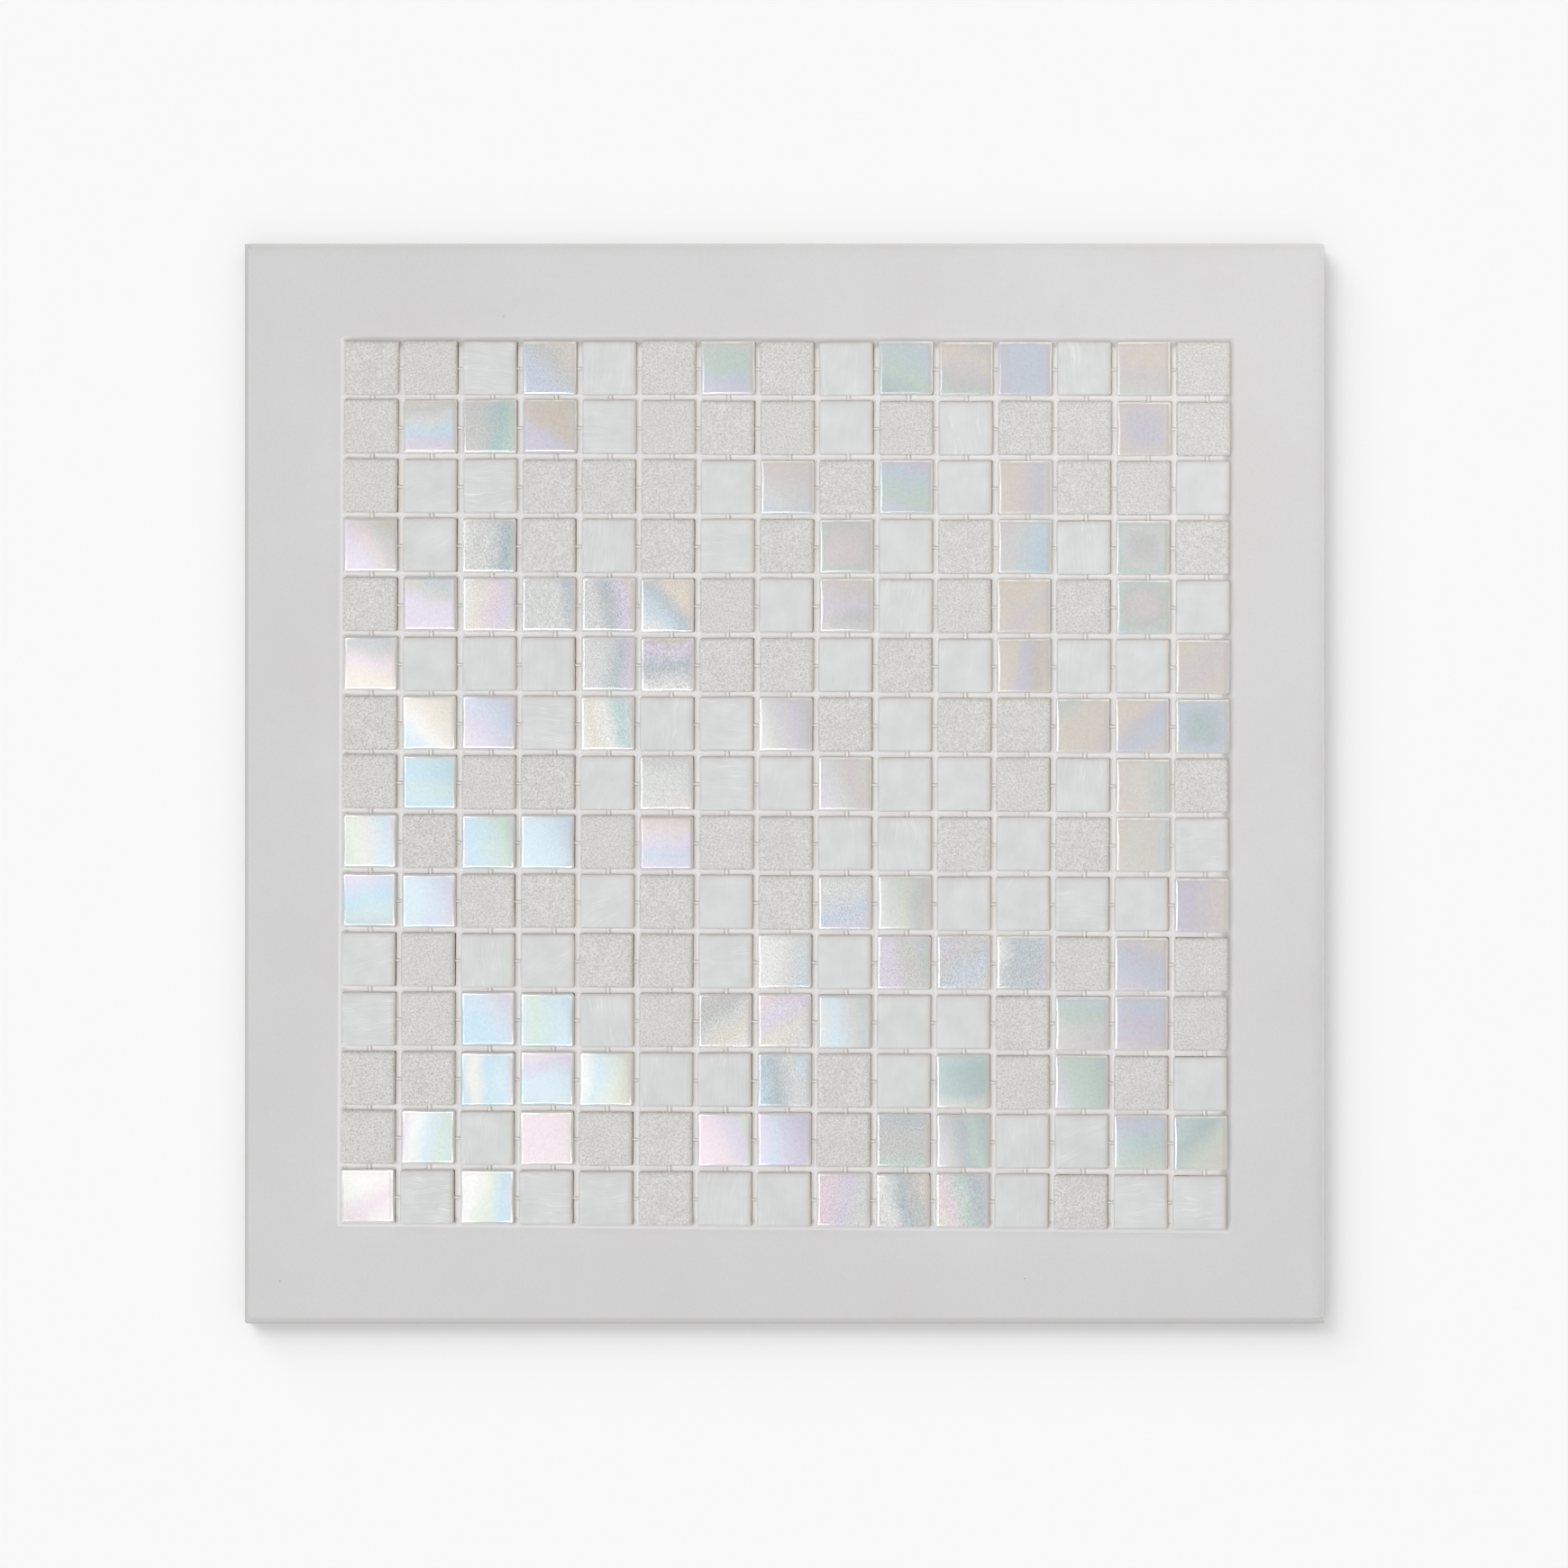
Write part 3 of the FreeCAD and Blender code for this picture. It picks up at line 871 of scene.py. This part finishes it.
def shape_milk(row, column, solid, insets, seed, luck):
    """The gently waved face of a milk tile, with its place turned to lie along its streaks."""
    inside = np.clip(insets / milk_calm_rim, 0, 1)
    before = laying_plan[row - 1][:column - 1].count("M")
    mark = streak_plan[row - 1][before]
    turn = math.radians(streak_turns[mark] + luck.uniform(-streak_slack, streak_slack))
    along = solid[:, 0] * math.cos(turn) + solid[:, 1] * math.sin(turn)
    across = -solid[:, 0] * math.sin(turn) + solid[:, 1] * math.cos(turn)
    drawn = np.column_stack([along / streak_stretch, across])
    strength = streak_shows[mark]
    streaks = 0.5 * strength * waves(drawn, streak_width, seed + 3)
    height = milk_wave * inside * (waves(solid, milk_wave_size, seed) + streaks)
    height -= milk_crest * inside * (solid[:, 0] ** 2 + solid[:, 1] ** 2) / 2
    spot = np.column_stack([along, across, np.full(len(solid), seed)])
    return height, {"spot": spot, "streaks": np.full(len(solid), strength)}


def shaded_rim(recipe, face, body):
    """The brown line of painted shade along the outermost edge of a tile."""
    return painted_over(recipe, body, rim_painted_shade, ramp(recipe, face, *rim_shade_edge), rim_shade_share)


milk_finish, recipe, shader = new_finish("milk glass", IOR=1.4)
spot, face = read_stamp(recipe, "spot", "Vector"), read_stamp(recipe, "face")
sway = soft_noise(recipe, spot, sway_scale, 2.0)
swayed = step(recipe, "ShaderNodeVectorMath", {0: sway["Color"], 1: (0.0, sway_reach, 0.0)},
              operation="MULTIPLY")
bent = step(recipe, "ShaderNodeVectorMath", {0: spot, 1: swayed.outputs[0]}, operation="ADD")
drawn = step(recipe, "ShaderNodeVectorMath", {0: bent.outputs[0], 1: (drawn_out, 1.0, 1.0)},
             operation="MULTIPLY")
threads = soft_noise(recipe, drawn.outputs[0], thread_scale, 3.0, 0.7)["Fac"]
hairs = soft_noise(recipe, drawn.outputs[0], hair_scale, 1.0)["Fac"]
fine = ramp(recipe, hairs, 0.56, 0.70)
patch = ramp(recipe, sway["Fac"], 0.42, 0.60)
milky = ramp(recipe, threads, 0.3, 0.7, 0.0, thread_share)
marks = combine(recipe, "ADD", milky, combine(recipe, "MULTIPLY", fine, patch))
evened = combine(recipe, "SUBTRACT", marks, streak_level)
shown = combine(recipe, "MULTIPLY", evened, read_stamp(recipe, "streaks"))
clouds = soft_noise(recipe, spot, milk_cloud_scale, 2.0)["Fac"]
cloudy = ramp(recipe, clouds, 0.3, 0.7, milk_cloud_dark, milk_cloud_light)
body = two_tone(recipe, combine(recipe, "ADD", shown, cloudy), -0.2, 1.8, milk_body, milk_streak)
body = painted_over(recipe, shaded_rim(recipe, face, body), tile_painted_edge_shade, read_stamp(recipe, "far_edge_shade"), milk_edge_shade)
recipe.links.new(body, shader.inputs["Base Color"])
rough = ramp(recipe, threads, 0.0, 1.0, milk_smooth, milk_rough)
recipe.links.new(rough, shader.inputs["Roughness"])
raise_surface(recipe, shader, shown, milk_bump, 0.3)
milk_blank = press_blank(milk_cell, milk_crown)
luck = random.Random(31)
for row in range(1, rows + 1):
    piece = lay_tiles("milk_tiles_%02d" % row, row, "M", milk_blank, milk_finish, shape_milk, luck)
    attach(piece, "root")
    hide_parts("row_%02d_milk_tiles" % row)

# Pearl tiles are white glass fired with a thin metal film, which turns from tan to blue, green and rose as it
# thickens. Each tile's plan names its shades in turn and which way they run, or that they ring its middle.
# Some tiles ripple or tip to the light, and the rippled ones carry painted glints. Film tints are painted
# richer toward the lit lower left, and at the upper right a highlight line is painted inside the rim.
film_colours = {"silver": (205, 206, 205), "white": (222, 222, 219), "grey": (190, 190, 188),
                "straw": (211, 207, 198), "cream": (217, 211, 201), "tan": (213, 201, 188),
                "brown": (194, 183, 172), "rose": (207, 197, 197), "pink": (215, 201, 208),
                "lilac": (205, 198, 214), "purple": (194, 189, 206), "blue": (187, 197, 213),
                "sky": (188, 207, 217), "aqua": (170, 200, 215), "slate": (172, 182, 189),
                "teal": (180, 202, 203), "sea": (163, 186, 186), "green": (184, 203, 193),
                "lime": (202, 210, 197)}
film_plan = [
    {4: "blue blue grey tan NE", 7: "rose green green blue lilac S", 10: "sea green teal blue NE",
     11: "grey tan rose grey green S", 12: "purple blue blue purple E", 14: "tan tan rose lime S"},
    {2: "tan grey silver sky lilac cream S", 3: "grey grey sea green E",
     4: "purple purple brown brown brown NE", 14: "purple rose tan rim"},
    {8: "tan rose silver blue S", 10: "purple blue teal green blue S", 12: "tan tan rose purple tan E"},
    {1: "lilac lilac rose grey brown NE", 3: "white silver silver slate sea E", 9: "rose grey green rim",
     12: "rose silver sky aqua E", 14: "grey silver green teal rim"},
    {2: "pink lilac lilac grey slate N", 3: "white cream pink lilac silver E",
     4: "silver silver silver slate E", 5: "silver silver slate lilac tan E",
     6: "white sky slate tan tan NE", 9: "tan rose lilac grey silver S", 12: "tan tan rose tan SE",
     14: "rose grey green teal rim"},
    {1: "cream cream pink grey slate N", 5: "silver silver slate lilac E",
     6: "white silver slate lilac brown N", 12: "tan tan purple brown tan E", 15: "tan rose tan SE"},
    {2: "sky white cream cream NE", 3: "lilac purple blue purple NE",
     5: "white cream white teal silver E", 8: "white silver lilac grey E", 13: "green tan tan rose SE",
     14: "tan tan purple blue rose SE", 15: "sea blue green rim"},
    {2: "teal aqua teal aqua S", 6: "grey silver silver cream S", 9: "lilac silver rose straw E",
     14: "tan cream green E"},
    {1: "green lime silver sky lilac E", 3: "blue aqua teal green sea E", 4: "sky sky sky blue E",
     6: "brown rose lilac blue lilac S", 14: "tan straw straw sky E"},
    {1: "lilac blue aqua teal slate S", 2: "sky sky blue purple E", 9: "silver silver blue lilac S",
     10: "white silver lime grey straw E", 15: "purple purple rose tan E"},
    {8: "white white silver sky E", 10: "lilac lilac grey grey sea E", 11: "purple grey blue silver SE",
     12: "white slate slate purple E", 14: "tan purple blue lilac S"},
    {3: "aqua aqua blue purple NE", 4: "sky green teal sky aqua E", 7: "grey grey silver cream white SE",
     8: "pink lilac straw silver SE", 9: "silver sky grey slate E", 13: "sky green silver rose S",
     14: "purple blue purple purple rose S"},
    {3: "aqua cream aqua sky blue E", 4: "pink purple sky sky teal S", 5: "white sky lime brown E",
     8: "sky slate silver sky E", 11: "teal sea sea straw S", 13: "lilac green green sea E"},
    {2: "lilac white sky green teal E", 4: "pink pink cream rim", 7: "pink pink lilac lime NE",
     8: "lilac blue purple purple E", 10: "slate grey grey green S", 11: "lilac grey slate green slate E",
     14: "purple blue teal green lime S", 15: "teal sea lime straw SE"},
    {1: "white white pink white SE", 3: "white white lime aqua lilac E",
     9: "pink pink lilac silver silver E", 10: "silver white slate grey tan E",
     11: "cream pink green slate slate E"}]
bearings = {"E": 0, "NE": 45, "N": 90, "S": -90, "SE": -45}
pearl_crown = (1.2, 0.8)
pearl_cell = 0.75
pearl_crest = 0.0036
flat_crest = 0.0008
flat_pearls = {(2, 2), (2, 4), (5, 2), (9, 6), (12, 9)}
tipped = {(2, 2): -0.012, (4, 3): 0.006, (5, 3): 0.012, (5, 5): 0.006, (5, 6): 0.012, (6, 6): 0.006,
          (9, 6): 0.01, (11, 8): 0.012, (11, 10): 0.018, (11, 11): 0.015, (11, 12): 0.026, (12, 7): 0.004,
          (12, 9): 0.022, (15, 9): 0.002, (15, 11): 0.01}
rippled = {(4, 3): 1.0, (5, 3): 0.6, (5, 4): 0.9, (5, 5): 1.0, (5, 6): 0.7, (6, 5): 0.7, (6, 6): 1.0,
           (7, 5): 0.6, (8, 6): 0.6, (10, 9): 0.8, (11, 8): 0.8, (11, 10): 0.8, (11, 11): 0.9,
           (11, 12): 0.9, (12, 7): 1.0, (12, 8): 0.6, (13, 8): 0.8, (14, 10): 0.9, (15, 9): 0.9,
           (15, 10): 1.0, (15, 11): 0.8, (2, 3): 0.6, (1, 4): 0.7}
calm_ripple = 0.2
pearl_ripple = 0.008
peel_slant = math.radians(-45)
pearl_calm_rim = 1.3
pearl_lip = 0.01
lip_luck = (0.4, 1.5)
lip_inset = 1.0
lip_width = 0.4
rim_gloss_inner = 0.60
rim_gloss_outer = 0.50
pearl_side = (0.70, 0.70, 0.69)
# The tan painted shade along each pearl's right and top edges.
pearl_painted_edge_shade = (0.54, 0.51, 0.48)
# The highlight line painted inside the top and right rims of pearls at the upper right.
painted_highlight_tint = (0.95, 0.91, 0.83)
highlight_from = (0.34, 0.58, 0.88, 1.22)
highlight_share = (0.0, 1.0, 0.35, 0.0)
highlight_right = 0.35
highlight_edge = -60.0
highlight_blend = 110.0
highlight_start = 0.5
highlight_patch = 3.5
film_swirl = 0.11
film_metal = 0.02
film_white = (0.60, 0.605, 0.605)
film_stir = 0.2
# Film tints are painted richer toward the lit lower left, standing in for their reflection of the light.
light_axis = math.radians(30)
lit_tint_blend = 110.0
far_tint_share = 0.62
lit_tint_share = 0.92
film_run = 21.0
film_wave = 8.0
film_wave_fine = 2.6
heading_slack = 14.0
rim_run = 10.8
rim_power = 2.4
ripple_size = 1.9
pearl_edge_shade = 0.8
swirl_scale = 0.9
peel_scale = 2.3
# The darkest and brightest share of the painted glints on rippled pearls.
painted_glint_dim = 0.76
painted_glint_bright = 1.29
peel_relief = 0.22
pearl_smooth = 0.10
pearl_rough = 0.17


def glass_tint(colour):
    """A colour as a photograph gives it, as the plain light that a finish takes."""
    shares = [value / 255 for value in colour]
    return [share / 12.92 if share <= 0.04045 else ((share + 0.055) / 1.055) ** 2.4 for share in shares]


def shape_pearl(row, column, solid, insets, seed, luck):
    """The crowned, rippled face of a pearl tile with its raised lip, the film on it and its painted highlight
    line.
    """
    *words, heading = film_plan[row - 1][column].split()
    if heading == "rim":
        square = np.maximum(np.abs(solid[:, 0]), np.abs(solid[:, 1]))
        round_off = 0.6 * square + 0.4 * np.hypot(solid[:, 0], solid[:, 1])
        along = np.clip(round_off / rim_run, 0, 1) ** rim_power
    else:
        turn = math.radians(bearings[heading] + luck.uniform(-heading_slack, heading_slack))
        across_film = solid[:, 0] * math.cos(turn) + solid[:, 1] * math.sin(turn)
        along = np.clip(0.5 + across_film / film_run, 0, 1)
    stir = waves(solid, film_wave, seed + 20) + 0.25 * waves(solid, film_wave_fine, seed + 30)
    along = along + film_swirl * stir
    shades = np.array([glass_tint(film_colours[word]) for word in words])
    x, y = middles[column - 1], middles[rows - row]
    # Painted reflection: the nearer a tile lies to the lit lower left, the richer its film tints.
    lower_left = -x * math.cos(light_axis) - y * math.sin(light_axis)
    lit_tint = far_tint_share + (lit_tint_share - far_tint_share) * min(1, max(0, (lower_left + lit_tint_blend / 2) / lit_tint_blend))
    shades = np.array(film_white) * (1 - lit_tint) + shades * lit_tint
    stops = np.linspace(0, 1, len(words))
    film = np.column_stack([np.interp(along, stops, shades[:, channel]) for channel in range(3)])
    inside = np.clip(insets / pearl_calm_rim, 0, 1)
    lip = pearl_lip * luck.uniform(*lip_luck) * np.exp(-((insets - lip_inset) / lip_width) ** 2)
    ripple = waves(solid, ripple_size, seed) + 0.5 * waves(solid, ripple_size / 2, seed + 5)
    height = pearl_ripple * inside * ripple
    crest = flat_crest if (row, column) in flat_pearls else pearl_crest
    height += lip - crest * np.clip(insets, 0, 1) * (solid[:, 0] ** 2 + solid[:, 1] ** 2) / 2
    tip = tipped.get((row, column), 0.0)
    rise = solid[:, 0] * math.cos(light_axis) + solid[:, 1] * math.sin(light_axis)
    height += tip * rise - tile_half * abs(tip)
    height = np.where(insets < 0, 0, height)
    # The painted highlight line inside the top rim and, more weakly, the right rim.
    line = np.maximum(np.interp(tile_half - solid[:, 1], highlight_from, highlight_share),
                      highlight_right * np.interp(tile_half - solid[:, 0], highlight_from, highlight_share))
    painted_highlight = min(1, max(0, (x + y - highlight_edge) / highlight_blend)) * line * np.clip(insets / highlight_start, 0, 1)
    painted_highlight = painted_highlight * np.clip(0.75 + 0.9 * waves(solid, highlight_patch, seed + 70), 0.1, 1)
    spot = np.column_stack([solid[:, 0], solid[:, 1], np.full(len(solid), seed)])
    return height, {"spot": spot, "film": film, "painted_highlight": painted_highlight,
                    "ripple": np.full(len(solid), rippled.get((row, column), calm_ripple))}


pearl_finish, recipe, shader = new_finish("pearl glass", IOR=1.33, Coat_IOR=1.7, Coat_Roughness=0.16)
spot, face = read_stamp(recipe, "spot", "Vector"), read_stamp(recipe, "face")
ripple = read_stamp(recipe, "ripple")
swirls = soft_noise(recipe, spot, swirl_scale, 3.0, 0.6)
colour = laid_over(recipe, film_stir, read_stamp(recipe, "film", "Color"), swirls["Color"], "OVERLAY")
slanted = step(recipe, "ShaderNodeMapping", {"Vector": spot, "Rotation": (0, 0, peel_slant),
                                             "Scale": (1.0, 0.7, 1.0)})
peel = soft_noise(recipe, slanted.outputs[0], peel_scale, 2.5)["Fac"]
# Painted glints: the colour of rippled pearls is made lighter and darker in specks.
painted_glint = ramp(recipe, peel, 0.3, 0.7, painted_glint_dim, painted_glint_bright, clamp=False)
colour = laid_over(recipe, ripple, colour, painted_glint, "MULTIPLY")
# Tan painted shade on the right and top edges.
colour = painted_over(recipe, colour, pearl_painted_edge_shade, read_stamp(recipe, "far_edge_shade"), pearl_edge_shade)
# The painted highlight line over the film.
colour = laid_over(recipe, read_stamp(recipe, "painted_highlight"), colour, painted_highlight_tint)
cover = ramp(recipe, face, 0.0, 0.2)
colour = laid_over(recipe, cover, pearl_side, colour)
recipe.links.new(shaded_rim(recipe, face, colour), shader.inputs["Base Color"])
recipe.links.new(ramp(recipe, cover, 0.0, 1.0, 0.0, film_metal), shader.inputs["Metallic"])
recipe.links.new(ramp(recipe, face, rim_gloss_inner, rim_gloss_outer), shader.inputs["Coat Weight"])
rough = ramp(recipe, swirls["Fac"], 0.3, 0.7, pearl_smooth, pearl_rough)
recipe.links.new(rough, shader.inputs["Roughness"])
relief = combine(recipe, "MULTIPLY", peel, ripple)
raise_surface(recipe, shader, relief, peel_relief, 1.0)
pearl_blank = press_blank(pearl_cell, pearl_crown)
luck = random.Random(47)
for row in range(1, rows + 1):
    piece = lay_tiles("pearl_tiles_%02d" % row, row, "P", pearl_blank, pearl_finish, shape_pearl, luck)
    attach(piece, "root")
    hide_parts("row_%02d_pearl_tiles" % row)
